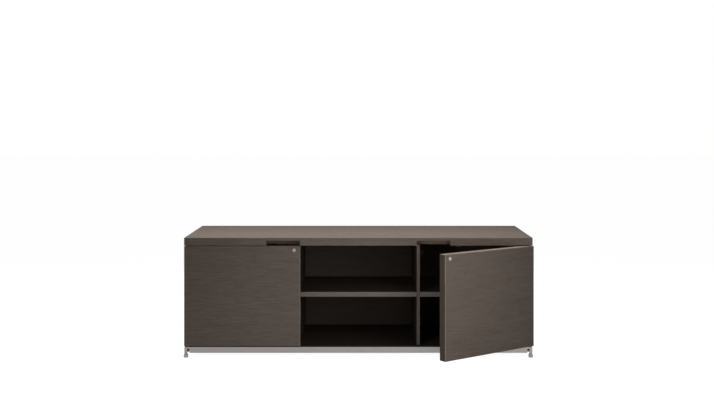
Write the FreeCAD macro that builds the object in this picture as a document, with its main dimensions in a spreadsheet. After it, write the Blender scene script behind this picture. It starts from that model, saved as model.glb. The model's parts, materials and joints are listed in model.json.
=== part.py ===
import FreeCAD, Part
import os

import Sketcher
from FreeCAD import Rotation, Vector

# Low office credenza: three bays of equal width under one thick top.
# X runs along the length, the doors face -Y, Z is up. The origin is on the floor,
# under the middle of the top. Lengths are in millimetres.

SIZES = {
    # the whole cabinet
    "bay_width": 600,
    "cabinet_depth": 600,
    "cabinet_height": 620,
    # boards
    "top_thickness": 40,
    "door_thickness": 40,
    "side_thickness": 22,
    "partition_thickness": 16,
    "bottom_thickness": 30,
    "shelf_thickness": 25,
    "back_thickness": 8,
    "arris_radius": 1,
    # gaps between the doors and the carcass
    "door_head_gap": 3,
    "door_air": 3,
    "partition_offset": 4,
    "right_door_rest_angle": 35.5,
    # where the boards lie
    "back_inset": 24,
    "bottom_margin": 17,
    "shelf_rise": 250.5,
    "shelf_setback": 3,
    "shelf_play": 0.5,
    "groove_depth": 6,
    "groove_play": 0.5,
    "tongue_thickness": 12,
    "tongue_margin": 60,
    # finger recesses in the lower front edge of the top
    "recess_offset": 2,
    "recess_length": 174,
    "recess_depth": 65,
    "recess_height": 25,
    # dowels and shelf pins
    "dowel_diameter": 8,
    "dowel_length": 30,
    "dowel_margin": 77,
    "dowel_in_tongue": 10,
    "pin_diameter": 5,
    "pin_depth": 7,
    "pin_reach": 9,
    "pin_margin": 50,
    # steel base frame
    "rail_height": 31,
    "rail_flange": 36,
    "rail_gauge": 4,
    "rail_inset": 2,
    "rail_slot": 11,
    "bearer_width": 40,
    "steel_arris": 0.8,
    # corner legs
    "post_inset": 7.5,
    "pivot_inset": 15,
    "leg_size": 15,
    "leg_height": 32.5,
    "leg_lift": 2,
    "tab_height": 10,
    "lug_gauge": 6,
    "lug_height": 6,
    "lug_overlap": 18,
    # levelling feet
    "foot_height": 20,
    "foot_diameter": 24,
    "foot_disc": 16,
    "foot_bevel": 1.5,
    "foot_flats": 17,
    "stud_diameter": 8,
    "stud_length": 18,
    "stud_bore_depth": 20,
    # base screws
    "screw_diameter": 4,
    "screw_length": 20,
    "screw_head_diameter": 8,
    "screw_head_height": 2.5,
    "screw_pitch": 400,
    "screw_edge": 6,
    # door pivots
    "pivot_diameter": 8,
    "running_gap": 0.05,
    "bush_diameter": 11,
    "bush_length": 16,
    "bush_end": 2,
    "pivot_reach": 12,
    "pivot_root_lower": 10,
    "pivot_root_upper": 25,
    "pivot_bevel": 1,
    "washer_thickness": 6,
    "washer_diameter": 14,
    # cam locks
    "lock_inset": 31.5,
    "lock_drop": 21,
    "lock_flange_diameter": 18,
    "lock_flange_height": 1.5,
    "lock_flange_bevel": 0.6,
    "lock_body_diameter": 14,
    "lock_body_length": 47.5,
    "plug_diameter": 10,
    "plug_sink": 0.4,
    "keyway_width": 1.6,
    "keyway_height": 6.4,
    "keyway_depth": 8,
    "nut_flats": 17,
    "nut_height": 5,
    "tail_diameter": 7,
    "cam_gauge": 2.5,
    "cam_hub_radius": 8,
    "cam_reach": 20,
    "cam_width": 12,
    "cam_screw_diameter": 4,
    "cam_screw_length": 12,
    "cam_screw_head_diameter": 8,
    "cam_screw_head_height": 2.5,
    # strikers on the partitions
    "striker_gauge": 2,
    "striker_width": 12,
    "striker_length": 26,
    "striker_reach": 16,
    "striker_drop": 11,
    "striker_setback": 1,
    # magnetic catches and door bumpers
    "catch_offset": 220,
    "catch_width": 45,
    "catch_height": 13,
    "catch_length": 18,
    "catch_gap": 0.3,
    "pole_width": 14,
    "pole_height": 2,
    "pole_reach": 1,
    "plate_width": 32,
    "plate_height": 9,
    "plate_gauge": 1.5,
    "plate_drop": 5.5,
    "bumper_diameter": 8,
    "bumper_height": 2.7,
    "bumper_margin": 60,
}

# Every place that more than one piece uses is worked out once, from the sizes above.
PLACES = {
    "half_length": "1.5 * sizes.bay_width",
    "bay_edge": "0.5 * sizes.bay_width",
    "front": "-0.5 * sizes.cabinet_depth",
    "rear": "0.5 * sizes.cabinet_depth",
    "leg_low": "sizes.foot_height + sizes.leg_lift",
    "frame_top": "leg_low + sizes.leg_height",
    "rail_low": "frame_top - sizes.rail_height",
    "seat": "rail_low + sizes.rail_gauge",
    "floor_top": "seat + sizes.bottom_thickness",
    "top_low": "sizes.cabinet_height - sizes.top_thickness",
    "door_low": "frame_top + sizes.washer_thickness",
    "door_high": "top_low - sizes.door_head_gap",
    "carcass_front": "front + sizes.door_thickness + sizes.door_air",
    "back_rear": "rear - sizes.back_inset",
    "back_front": "back_rear - sizes.back_thickness",
    "side_inner": "half_length - sizes.side_thickness",
    "partition_near": "bay_edge + sizes.partition_offset",
    "partition_far": "partition_near + sizes.partition_thickness",
    "partition_middle": "0.5 * (partition_near + partition_far)",
    "shelf_low": "floor_top + sizes.shelf_rise",
    "shelf_front": "carcass_front + sizes.shelf_setback",
    "pin_level": "shelf_low - 0.5 * sizes.pin_diameter",
    "pin_front": "carcass_front + sizes.pin_margin",
    "pin_rear": "back_front - sizes.pin_margin",
    "dowel_front": "carcass_front + sizes.dowel_margin",
    "dowel_rear": "back_front - sizes.dowel_margin",
    "dowel_half": "0.5 * sizes.dowel_length",
    "side_dowel_x": "half_length - 0.5 * sizes.side_thickness",
    "floor_dowel_level": "seat + 0.5 * sizes.bottom_thickness",
    "recess_near": "bay_edge + sizes.recess_offset",
    "recess_far": "recess_near + sizes.recess_length",
    "pivot_x": "half_length - sizes.post_inset",
    "pivot_y": "front + sizes.pivot_inset",
    "post_half": "0.5 * sizes.leg_size",
    "rear_post_y": "-pivot_y",
    "rail_front": "pivot_y - post_half + sizes.rail_inset",
    "rail_rear": "-rail_front",
    "rail_side": "pivot_x + post_half - sizes.rail_inset",
    "rail_end_x": "pivot_x - post_half - sizes.rail_slot",
    "rail_end_y": "-pivot_y - post_half - sizes.rail_slot",
    "bottom_front": "rail_front + sizes.bottom_margin",
    "flange_front": "rail_front + sizes.rail_flange",
    "flange_rear": "rail_rear - sizes.rail_flange",
    "screw_front": "flange_front - sizes.screw_edge",
    "screw_rear": "flange_rear + sizes.screw_edge",
    "screw_middle": "0.5 * (flange_front + flange_rear)",
    "bush_bore_radius": "0.5 * sizes.pivot_diameter + sizes.running_gap",
    "door_front": "-sizes.pivot_inset",
    "door_rear": "sizes.door_thickness - sizes.pivot_inset",
    "door_reach": "sizes.bay_width - sizes.post_inset",
    "lock_arm": "door_reach - sizes.lock_inset",
    "lock_level": "door_high - sizes.lock_drop",
    "right_lock_x": "pivot_x - lock_arm * cos(sizes.right_door_rest_angle * 1deg)"
                    " + sizes.pivot_inset * sin(sizes.right_door_rest_angle * 1deg)",
    "right_lock_y": "pivot_y - lock_arm * sin(sizes.right_door_rest_angle * 1deg)"
                    " - sizes.pivot_inset * cos(sizes.right_door_rest_angle * 1deg)",
    "cam_front": "sizes.lock_body_length",
    "cam_rear": "cam_front + sizes.cam_gauge",
    "striker_top": "lock_level - sizes.striker_drop",
    "striker_front": "carcass_front + sizes.striker_setback",
    "catch_x": "bay_edge + sizes.catch_offset",
    "catch_front": "front + sizes.door_thickness + sizes.plate_gauge + sizes.catch_gap"
                   " + sizes.pole_reach",
    "plate_x": "pivot_x - catch_x",
    "bumper_x": "pivot_x - partition_middle",
}

LEFT, RIGHT = -1, 1
SIDES = {"left": LEFT, "right": RIGHT}

# Screws in one long flange, counted in pitches from the middle.
SCREW_STEPS = (-1.5, -0.5, 0.5, 1.5)
# Edges longer than this run along a rail; the others belong to its section and its notches.
LONG_EDGE = 100
# Two coordinates closer than this are the same one.
SAME = 1e-6

doc = FreeCAD.newDocument("office_credenza")
nodes = []


def fill_sheet(name, cells, mark=""):
    sheet = doc.addObject("Spreadsheet::Sheet", name)
    for row, (alias, content) in enumerate(cells.items(), start=1):
        sheet.set(f"A{row}", alias)
        sheet.set(f"B{row}", mark + str(content))
        sheet.setAlias(f"B{row}", alias)


def bind(thing, formulas):
    for path, formula in formulas.items():
        thing.setExpression(path, formula)


# ---- sketches and features ------------------------------------------------------------

def start_body(label):
    body = doc.addObject("PartDesign::Body", label)
    body.Label = label
    nodes.append(body)
    return body


def draw(body, plane, height="0"):
    """An empty sketch on one of the body's own planes, moved along that plane's normal."""
    sketch = body.newObject("Sketcher::SketchObject", f"{body.Label}_sketch")
    origin_plane = next(f for f in body.Origin.OriginFeatures if f.Role == plane)
    sketch.AttachmentSupport = (origin_plane, [""])
    sketch.MapMode = "FlatFace"
    sketch.setExpression("AttachmentOffset.Base.z", height)
    return sketch


def pin_down(sketch, geometry, vertex, across, up):
    """Holds one vertex at its two distances from the sketch's origin."""
    for kind, formula in (("DistanceX", across), ("DistanceY", up)):
        index = sketch.addConstraint(Sketcher.Constraint(kind, -1, 1, geometry, vertex, 1.0))
        sketch.setExpression(f"Constraints[{index}]", formula)


def outline(sketch, corners):
    """A closed outline of straight edges, each corner given by two formulas. The edges are
    first drawn as a zigzag, only so that none has no length before its ends are held."""
    first = sketch.GeometryCount
    zigzag = [Vector(i, i % 2, 0) for i in range(len(corners) + 1)]
    for start, end in zip(zigzag, zigzag[1:]):
        sketch.addGeometry(Part.LineSegment(start, end), False)
    for i, (across, up) in enumerate(corners):
        before = first + (i - 1) % len(corners)
        sketch.addConstraint(Sketcher.Constraint("Coincident", before, 2, first + i, 1))
        pin_down(sketch, first + i, 1, across, up)


def rectangle(sketch, low, high):
    outline(sketch, [low, (high[0], low[1]), high, (low[0], high[1])])


def circle(sketch, centre, diameter):
    index = sketch.addGeometry(Part.Circle(Vector(0, 0, 0), Vector(0, 0, 1), 1), False)
    pin_down(sketch, index, 3, *centre)
    size = sketch.addConstraint(Sketcher.Constraint("Diameter", index, 1.0))
    sketch.setExpression(f"Constraints[{size}]", diameter)


def hexagon(sketch, flats):
    """A hexagon round the origin, with two of its flats to the left and right."""
    corner_radius = f"{flats} / 2 / cos(30deg)"
    outline(sketch, [
        (f"{corner_radius} * sin({60 * i} * 1deg)", f"{corner_radius} * cos({60 * i} * 1deg)")
        for i in range(6)
    ])


def pad(body, sketch, length):
    feature = body.newObject("PartDesign::Pad", f"{body.Label}_pad")
    feature.Profile = sketch
    feature.setExpression("Length", length)
    sketch.Visibility = False
    return feature


def pocket(body, sketch, length):
    feature = body.newObject("PartDesign::Pocket", f"{body.Label}_pocket")
    feature.Profile = sketch
    feature.setExpression("Length", length)
    sketch.Visibility = False
    return feature


def turn(body, sketch):
    """Turns the profile about the sketch's own vertical axis."""
    feature = body.newObject("PartDesign::Revolution", f"{body.Label}_turned")
    feature.Profile = sketch
    feature.ReferenceAxis = (sketch, ["V_Axis"])
    feature.Angle = 360
    sketch.Visibility = False
    return feature


def round_edges(body, radius, chosen):
    """Rounds those edges of the body so far for which chosen(edge) is true."""
    doc.recompute()
    base = body.Tip
    names = [f"Edge{i}" for i, edge in enumerate(base.Shape.Edges, 1) if chosen(edge)]
    feature = body.newObject("PartDesign::Fillet", f"{body.Label}_arris")
    feature.Base = (base, names)
    feature.setExpression("Radius", radius)
    return feature


def turned_piece(label, plane, profile):
    body = start_body(label)
    sketch = draw(body, plane)
    outline(sketch, profile)
    turn(body, sketch)
    return body


def on_hull(edge, box):
    """True for a straight edge along the outermost box of a board."""
    if edge.Curve.TypeId != "Part::GeomLine":
        return False
    middle = edge.CenterOfMass
    faces = (
        (middle.x, box.XMin), (middle.x, box.XMax),
        (middle.y, box.YMin), (middle.y, box.YMax),
        (middle.z, box.ZMin), (middle.z, box.ZMax),
    )
    return sum(abs(at - face) < SAME for at, face in faces) == 2


def round_board(body):
    doc.recompute()
    box = body.Shape.BoundBox
    round_edges(body, "sizes.arris_radius", lambda edge: on_hull(edge, box))


def place(thing, x="0", y="0", z="0"):
    bind(thing, {"Placement.Base.x": x, "Placement.Base.y": y, "Placement.Base.z": z})


def turn_to_rest(thing, side):
    """The right door stands open at rest, and all that it carries turns with it."""
    if side == RIGHT:
        thing.Placement.Rotation = Rotation(Vector(0, 0, 1), 1)
        thing.setExpression("Placement.Rotation.Angle", "sizes.right_door_rest_angle")


def place_on_pivot(thing, side):
    """A door's own frame stands on its pivot axis."""
    turn_to_rest(thing, side)
    place(thing, f"{side} * places.pivot_x", "places.pivot_y")


def place_on_lock(thing, side):
    """A lock's own frame has its Y axis along the plug, from the door's face inwards."""
    turn_to_rest(thing, side)
    if side == RIGHT:
        place(thing, "places.right_lock_x", "places.right_lock_y", "places.lock_level")
    else:
        place(thing, "places.lock_arm - places.pivot_x", "places.front", "places.lock_level")


def rod(label, direction, start, length, diameter):
    """A cylinder along a row axis, from its start point."""
    cylinder = doc.addObject("Part::Cylinder", label)
    cylinder.Placement.Rotation = Rotation(Vector(0, 0, 1), direction)
    place(cylinder, *start)
    bind(cylinder, {"Height": length, "Radius": f"0.5 * ({diameter})"})
    return cylinder


def gather(label, pieces):
    group = doc.addObject("Part::Compound", label)
    group.Label = label
    group.Links = pieces
    nodes.append(group)
    return group


# ---- boards ---------------------------------------------------------------------------

def span(side, near, far):
    """A stretch along X on one side of the middle, its lower end first."""
    return (f"-({far})", f"-({near})") if side == LEFT else (near, far)


def bore_face(body, side, face, depth, centres, diameter):
    """Blind bores along X into a board whose wood lies further out than this face."""
    reach = f"{face} + {depth}" if side == RIGHT else f"-({face})"
    sketch = draw(body, "YZ_Plane", reach)
    for centre in centres:
        circle(sketch, centre, diameter)
    return pocket(body, sketch, depth)


def bore_down(body, height, depth, centres, diameter):
    """Vertical bores from this height downwards."""
    sketch = draw(body, "XY_Plane", height)
    for centre in centres:
        circle(sketch, centre, diameter)
    return pocket(body, sketch, depth)


def dowel_rows(x):
    return [(x, "places.dowel_front"), (x, "places.dowel_rear")]


def make_top_panel():
    body = start_body("top_panel")
    slab = draw(body, "XY_Plane", "places.top_low")
    rectangle(slab, ("-places.half_length", "places.front"), ("places.half_length", "places.rear"))
    pad(body, slab, "sizes.top_thickness")
    round_board(body)
    recesses = draw(body, "XY_Plane", "places.top_low + sizes.recess_height")
    for side in SIDES.values():
        low, high = span(side, "places.recess_near", "places.recess_far")
        rectangle(recesses, (low, "places.front - sizes.arris_radius"),
                  (high, "places.front + sizes.recess_depth"))
    pocket(body, recesses, "sizes.recess_height + sizes.arris_radius")
    groove = draw(body, "XY_Plane", "places.top_low + sizes.groove_depth")
    groove_end = "(places.side_inner + sizes.groove_depth)"
    rectangle(groove, (f"-{groove_end}", "places.back_front"), (groove_end, "places.back_rear"))
    pocket(body, groove, "sizes.groove_depth")
    bore_down(
        body, "places.top_low + sizes.bush_length", "sizes.bush_length",
        [(f"{side} * places.pivot_x", "places.pivot_y") for side in SIDES.values()],
        "sizes.bush_diameter",
    )
    bore_down(
        body, "places.top_low + places.dowel_half", "places.dowel_half",
        [row for side in SIDES.values()
         for x in ("places.side_dowel_x", "places.partition_middle")
         for row in dowel_rows(f"{side} * {x}")],
        "sizes.dowel_diameter",
    )


def make_side_panel(name, side):
    body = start_body(f"{name}_side_panel")
    low, high = span(side, "places.side_inner", "places.half_length")
    board = draw(body, "XY_Plane", "places.frame_top")
    rectangle(board, (low, "places.carcass_front"), (high, "places.rear"))
    pad(body, board, "places.top_low - places.frame_top")
    round_board(body)
    tongue = draw(body, "XY_Plane", "places.seat")
    low, high = span(side, "places.side_inner", "places.side_inner + sizes.tongue_thickness")
    rectangle(tongue, (low, "places.front + sizes.tongue_margin"),
              (high, "places.rear - sizes.tongue_margin"))
    pad(body, tongue, "places.frame_top - places.seat")
    groove = draw(body, "XY_Plane", "places.top_low")
    low, high = span(side, "places.side_inner", "places.side_inner + sizes.groove_depth")
    rectangle(groove, (low, "places.back_front"), (high, "places.back_rear"))
    pocket(body, groove, "places.top_low - places.frame_top")
    bore_down(body, "places.top_low", "places.dowel_half",
              dowel_rows(f"{side} * places.side_dowel_x"), "sizes.dowel_diameter")
    bore_face(body, side, "places.side_inner", "sizes.pin_depth",
              [("places.pin_front", "places.pin_level"), ("places.pin_rear", "places.pin_level")],
              "sizes.pin_diameter")
    bore_face(body, side, "places.side_inner", "sizes.dowel_in_tongue",
              [("places.dowel_front", "places.floor_dowel_level"),
               ("places.dowel_rear", "places.floor_dowel_level")],
              "sizes.dowel_diameter")


def make_partition(name, side):
    body = start_body(f"{name}_partition")
    low, high = span(side, "places.partition_near", "places.partition_far")
    board = draw(body, "XY_Plane", "places.floor_top")
    rectangle(board, (low, "places.carcass_front"), (high, "places.back_front"))
    pad(body, board, "places.top_low - places.floor_top")
    middle = dowel_rows(f"{side} * places.partition_middle")
    bore_down(body, "places.top_low", "places.dowel_half", middle, "sizes.dowel_diameter")
    bore_down(body, "places.floor_top + places.dowel_half", "places.dowel_half", middle,
              "sizes.dowel_diameter")
    pin_rows = [("places.pin_front", "places.pin_level"), ("places.pin_rear", "places.pin_level")]
    bore_face(body, side, "places.partition_near", "sizes.pin_depth", pin_rows,
              "sizes.pin_diameter")
    bore_face(body, -side, "-places.partition_far", "sizes.pin_depth", pin_rows,
              "sizes.pin_diameter")


def make_bottom_panel():
    body = start_body("bottom_panel")
    board = draw(body, "XY_Plane", "places.seat")
    rectangle(board, ("-places.side_inner", "places.bottom_front"),
              ("places.side_inner", "places.back_front"))
    pad(body, board, "sizes.bottom_thickness")
    bore_down(
        body, "places.floor_top", "places.dowel_half",
        [row for side in SIDES.values()
         for row in dowel_rows(f"{side} * places.partition_middle")],
        "sizes.dowel_diameter",
    )
    ends = [("places.dowel_front", "places.floor_dowel_level"),
            ("places.dowel_rear", "places.floor_dowel_level")]
    in_panel = "sizes.dowel_length - sizes.dowel_in_tongue"
    for side in SIDES.values():
        bore_face(body, -side, "-places.side_inner", in_panel, ends, "sizes.dowel_diameter")
    bore_down(body, "places.seat + sizes.screw_length - sizes.rail_gauge",
              "sizes.screw_length - sizes.rail_gauge", base_screw_centres(), "sizes.screw_diameter")


def make_back_panel():
    reach = "places.side_inner + sizes.groove_depth - sizes.groove_play"
    body = start_body("back_panel")
    board = draw(body, "XY_Plane", "places.frame_top")
    rectangle(board, (f"-({reach})", "places.back_front"), (reach, "places.back_rear"))
    pad(body, board, "places.top_low + sizes.groove_depth - sizes.groove_play - places.frame_top")
    foot = draw(body, "XY_Plane", "places.seat")
    rectangle(foot, ("-places.side_inner", "places.back_front"),
              ("places.side_inner", "places.back_rear"))
    pad(body, foot, "places.frame_top - places.seat")


def make_shelf(name, low_x, high_x):
    body = start_body(f"{name}_shelf")
    board = draw(body, "XY_Plane", "places.shelf_low")
    rectangle(board, (f"{low_x} + sizes.shelf_play", "places.shelf_front"),
              (f"{high_x} - sizes.shelf_play", "places.back_front - sizes.shelf_play"))
    pad(body, board, "sizes.shelf_thickness")
    round_board(body)


def make_shelf_pins(name, low_x, high_x):
    pins = []
    for y in ("places.pin_front", "places.pin_rear"):
        for x, sign in ((low_x, 1), (high_x, -1)):
            pins.append(rod(f"{name}_shelf_pin", Vector(sign, 0, 0),
                            (f"{x} - {sign} * sizes.pin_depth", y, "places.pin_level"),
                            "sizes.pin_depth + sizes.pin_reach", "sizes.pin_diameter"))
    gather(f"{name}_shelf_pins", pins)


def make_dowels():
    upright, lying = Vector(0, 0, 1), Vector(1, 0, 0)
    top_row, floor_row = [], []
    for side in SIDES.values():
        for y in ("places.dowel_front", "places.dowel_rear"):
            for x in ("places.side_dowel_x", "places.partition_middle"):
                top_row.append(rod("top_dowel", upright,
                                   (f"{side} * {x}", y, "places.top_low - places.dowel_half"),
                                   "sizes.dowel_length", "sizes.dowel_diameter"))
            floor_row.append(rod("floor_dowel", upright,
                                 (f"{side} * places.partition_middle", y,
                                  "places.floor_top - places.dowel_half"),
                                 "sizes.dowel_length", "sizes.dowel_diameter"))
            floor_row.append(rod("side_dowel", side * lying,
                                 (f"{side} * (places.side_inner + sizes.dowel_in_tongue"
                                  " - sizes.dowel_length)", y, "places.floor_dowel_level"),
                                 "sizes.dowel_length", "sizes.dowel_diameter"))
    gather("top_dowels", top_row)
    gather("bottom_dowels", floor_row)


# ---- steel base -----------------------------------------------------------------------

def base_screw_centres():
    """Along the front and rear flanges, and one in the middle of each bearer."""
    rows = [(f"{step} * sizes.screw_pitch", y)
            for y in ("places.screw_front", "places.screw_rear")
            for step in SCREW_STEPS]
    rows += [(f"{side} * places.partition_middle", "places.screw_middle")
             for side in SIDES.values()]
    return rows


def angle_profile(sketch, face, inward):
    """An equal-gauge angle: an upright flange with its face outwards, a flat one below."""
    outline(sketch, [
        (face, "places.rail_low"),
        (f"{face} + {inward} * sizes.rail_flange", "places.rail_low"),
        (f"{face} + {inward} * sizes.rail_flange", "places.seat"),
        (f"{face} + {inward} * sizes.rail_gauge", "places.seat"),
        (f"{face} + {inward} * sizes.rail_gauge", "places.frame_top"),
        (face, "places.frame_top"),
    ])


def make_long_rail(name, face, inward, screw_row):
    body = start_body(f"{name}_rail")
    section = draw(body, "YZ_Plane", "-places.rail_end_x")
    angle_profile(section, face, inward)
    pad(body, section, "2 * places.rail_end_x")
    bore_down(body, "places.seat", "sizes.rail_gauge",
              [centre for centre in base_screw_centres() if centre[1] == screw_row],
              "sizes.screw_diameter")
    doc.recompute()
    box = body.Shape.BoundBox
    outside = box.YMin if inward > 0 else box.YMax
    round_edges(body, "sizes.steel_arris", lambda edge: (
        on_hull(edge, box) and edge.BoundBox.XLength > LONG_EDGE
        and abs(edge.CenterOfMass.y - outside) < SAME))


def make_side_rail(name, side):
    """Its flat flange stops short of those of the long rails, which run past it."""
    body = start_body(f"{name}_side_rail")
    section = draw(body, "XZ_Plane", "-places.rail_end_y")
    angle_profile(section, f"{side} * places.rail_side", -side)
    pad(body, section, "2 * places.rail_end_y")
    notches = draw(body, "XY_Plane", "places.seat")
    low, high = span(side, "places.rail_side - sizes.rail_flange",
                     "places.rail_side - sizes.rail_gauge")
    rectangle(notches, (low, "-places.rail_end_y"), (high, "places.flange_front"))
    rectangle(notches, (low, "places.flange_rear"), (high, "places.rail_end_y"))
    pocket(body, notches, "sizes.rail_gauge")
    doc.recompute()
    box = body.Shape.BoundBox
    outside = box.XMin if side == LEFT else box.XMax
    round_edges(body, "sizes.steel_arris", lambda edge: (
        on_hull(edge, box) and edge.BoundBox.YLength > LONG_EDGE
        and abs(edge.CenterOfMass.x - outside) < SAME))


def make_bearer(name, side):
    body = start_body(f"{name}_bearer")
    flat = draw(body, "XY_Plane", "places.rail_low")
    centre = f"{side} * places.partition_middle"
    rectangle(flat, (f"{centre} - 0.5 * sizes.bearer_width", "places.flange_front"),
              (f"{centre} + 0.5 * sizes.bearer_width", "places.flange_rear"))
    pad(body, flat, "sizes.rail_gauge")
    bore_down(body, "places.seat", "sizes.rail_gauge", [(centre, "places.screw_middle")],
              "sizes.screw_diameter")


def make_base_screws():
    upright = Vector(0, 0, 1)
    screws = []
    for x, y in base_screw_centres():
        head = rod("base_screw_head", upright,
                   (x, y, "places.rail_low - sizes.screw_head_height"),
                   "sizes.screw_head_height", "sizes.screw_head_diameter")
        shank = rod("base_screw_shank", upright, (x, y, "places.rail_low"),
                    "sizes.screw_length", "sizes.screw_diameter")
        screw = doc.addObject("Part::MultiFuse", "base_screw")
        screw.Shapes = [head, shank]
        screws.append(screw)
    gather("base_screws", screws)


def two_arms(sketch, low, high, end):
    """An L in plan: arms between low and high, one along X and one along Y, to their end."""
    outline(sketch, [(low, low), (end, low), (end, high), (high, high), (high, end), (low, end)])


def make_leg(name, x_side, is_rear):
    """A post with one arm along each of its two rails. Each arm is a tab that meets the
    rail's end above an open slot, and a lug that stands on the rail's flat flange."""
    body = start_body(f"{name}_leg")
    half, inner = "places.post_half", "places.post_half + sizes.rail_slot"
    face = "-places.post_half + sizes.rail_inset"
    post = draw(body, "XY_Plane", "places.leg_low")
    rectangle(post, (f"-{half}", f"-{half}"), (half, half))
    pad(body, post, "sizes.leg_height")
    round_edges(body, "sizes.steel_arris", lambda edge: edge.BoundBox.ZLength > SAME)
    tabs = draw(body, "XY_Plane", "places.frame_top - sizes.tab_height")
    two_arms(tabs, face, half, inner)
    pad(body, tabs, "sizes.tab_height")
    lugs = draw(body, "XY_Plane", "places.seat")
    two_arms(lugs, "places.post_half - sizes.lug_gauge", half, f"{inner} + sizes.lug_overlap")
    pad(body, lugs, "sizes.lug_height")
    bore_down(body, "places.leg_low + sizes.stud_bore_depth", "sizes.stud_bore_depth",
              [("0", "0")], "sizes.stud_diameter + 2 * sizes.running_gap")
    if not is_rear:
        bore_down(body, "places.frame_top", "sizes.pivot_root_lower", [("0", "0")],
                  "sizes.pivot_diameter")
    quarter_turns = {(LEFT, False): 0, (RIGHT, False): 1, (RIGHT, True): 2, (LEFT, True): 3}
    body.Placement.Rotation = Rotation(Vector(0, 0, 1), 90 * quarter_turns[x_side, is_rear])
    place(body, f"{x_side} * places.pivot_x",
          "places.rear_post_y" if is_rear else "places.pivot_y")


def make_foot(name, x_side, is_rear):
    """A turned disc with a hexagon for the spanner and a stud that screws into the post."""
    rim, bevel = "0.5 * sizes.foot_diameter", "sizes.foot_bevel"
    stud = "0.5 * sizes.stud_diameter"
    stud_top = "sizes.foot_height + sizes.stud_length"
    body = turned_piece(f"{name}_foot", "XZ_Plane", [
        ("0", "0"),
        (f"{rim} - {bevel}", "0"),
        (rim, bevel),
        (rim, f"sizes.foot_disc - {bevel}"),
        (f"{rim} - {bevel}", "sizes.foot_disc"),
        (stud, "sizes.foot_disc"),
        (stud, f"{stud_top} - {bevel} / 2"),
        (f"{stud} - {bevel} / 2", stud_top),
        ("0", stud_top),
    ])
    flats = draw(body, "XY_Plane", "sizes.foot_disc")
    hexagon(flats, "sizes.foot_flats")
    pad(body, flats, "sizes.foot_height - sizes.foot_disc")
    place(body, f"{x_side} * places.pivot_x",
          "places.rear_post_y" if is_rear else "places.pivot_y")


# ---- doors and their pivots -----------------------------------------------------------

def make_door(name, side):
    body = start_body(f"{name}_door")
    inward = -side
    slab = draw(body, "XY_Plane", "places.door_low")
    rectangle(slab, (f"{side} * sizes.post_inset", "places.door_front"),
              (f"{inward} * places.door_reach", "places.door_rear"))
    pad(body, slab, "places.door_high - places.door_low")
    round_board(body)
    bore_down(body, "places.door_low + sizes.bush_length", "sizes.bush_length", [("0", "0")],
              "sizes.bush_diameter")
    bore_down(body, "places.door_high", "sizes.pivot_root_upper", [("0", "0")],
              "sizes.pivot_diameter")
    lock_hole = draw(body, "XZ_Plane", "-places.door_front")
    circle(lock_hole, (f"{inward} * places.lock_arm", "places.lock_level"),
           "sizes.lock_body_diameter")
    pocket(body, lock_hole, "sizes.door_thickness")
    place_on_pivot(body, side)


def bush_profile(mouth):
    """A blind bush that opens downwards at this level."""
    outer, bore = "0.5 * sizes.bush_diameter", "places.bush_bore_radius"
    closed_end = f"{mouth} + sizes.bush_length"
    inside = f"{closed_end} - sizes.bush_end"
    return [(bore, mouth), (outer, mouth), (outer, closed_end), ("0", closed_end),
            ("0", inside), (bore, inside)]


def pin_profile(low, high):
    """An upright pin with a bevelled upper end."""
    radius, bevel = "0.5 * sizes.pivot_diameter", "sizes.pivot_bevel"
    return [("0", low), (radius, low), (radius, f"{high} - {bevel}"),
            (f"{radius} - {bevel}", high), ("0", high)]


def make_pivots(name, side):
    """The lower pin stands in the corner leg, the upper one in the door."""
    lower_pin = turned_piece(f"{name}_lower_pivot_pin", "XZ_Plane", pin_profile(
        "places.frame_top - sizes.pivot_root_lower", "places.door_low + sizes.pivot_reach"))
    washer_bore, washer_rim = "places.bush_bore_radius", "0.5 * sizes.washer_diameter"
    washer = turned_piece(f"{name}_pivot_washer", "XZ_Plane", [
        (washer_bore, "places.frame_top"), (washer_rim, "places.frame_top"),
        (washer_rim, "places.door_low"), (washer_bore, "places.door_low")])
    upper_bush = turned_piece(f"{name}_upper_pivot_bush", "XZ_Plane",
                              bush_profile("places.top_low"))
    for piece in (lower_pin, washer, upper_bush):
        place(piece, f"{side} * places.pivot_x", "places.pivot_y")
    upper_pin = turned_piece(f"{name}_upper_pivot_pin", "XZ_Plane", pin_profile(
        "places.door_high - sizes.pivot_root_upper", "places.top_low + sizes.pivot_reach"))
    lower_bush = turned_piece(f"{name}_lower_pivot_bush", "XZ_Plane",
                              bush_profile("places.door_low"))
    for piece in (upper_pin, lower_bush):
        place_on_pivot(piece, side)


def make_bumpers(name, side):
    body = start_body(f"{name}_door_bumpers")
    dots = draw(body, "XZ_Plane", "-places.door_rear - sizes.bumper_height")
    for level in ("places.door_low + sizes.bumper_margin", "places.door_high - sizes.bumper_margin"):
        circle(dots, (f"{-side} * places.bumper_x", level), "sizes.bumper_diameter")
    pad(body, dots, "sizes.bumper_height")
    place_on_pivot(body, side)


# ---- cam locks ------------------------------------------------------------------------

def make_lock_housing(name, side):
    bore = "0.5 * sizes.plug_diameter + sizes.running_gap"
    rim, barrel = "0.5 * sizes.lock_flange_diameter", "0.5 * sizes.lock_body_diameter"
    face, bevel = "-sizes.lock_flange_height", "sizes.lock_flange_bevel"
    housing = turned_piece(f"{name}_lock_housing", "XY_Plane", [
        (bore, face), (f"{rim} - {bevel}", face), (rim, f"{face} + {bevel}"), (rim, "0"),
        (barrel, "0"), (barrel, "sizes.lock_body_length"), (bore, "sizes.lock_body_length")])
    place_on_lock(housing, side)


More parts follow.
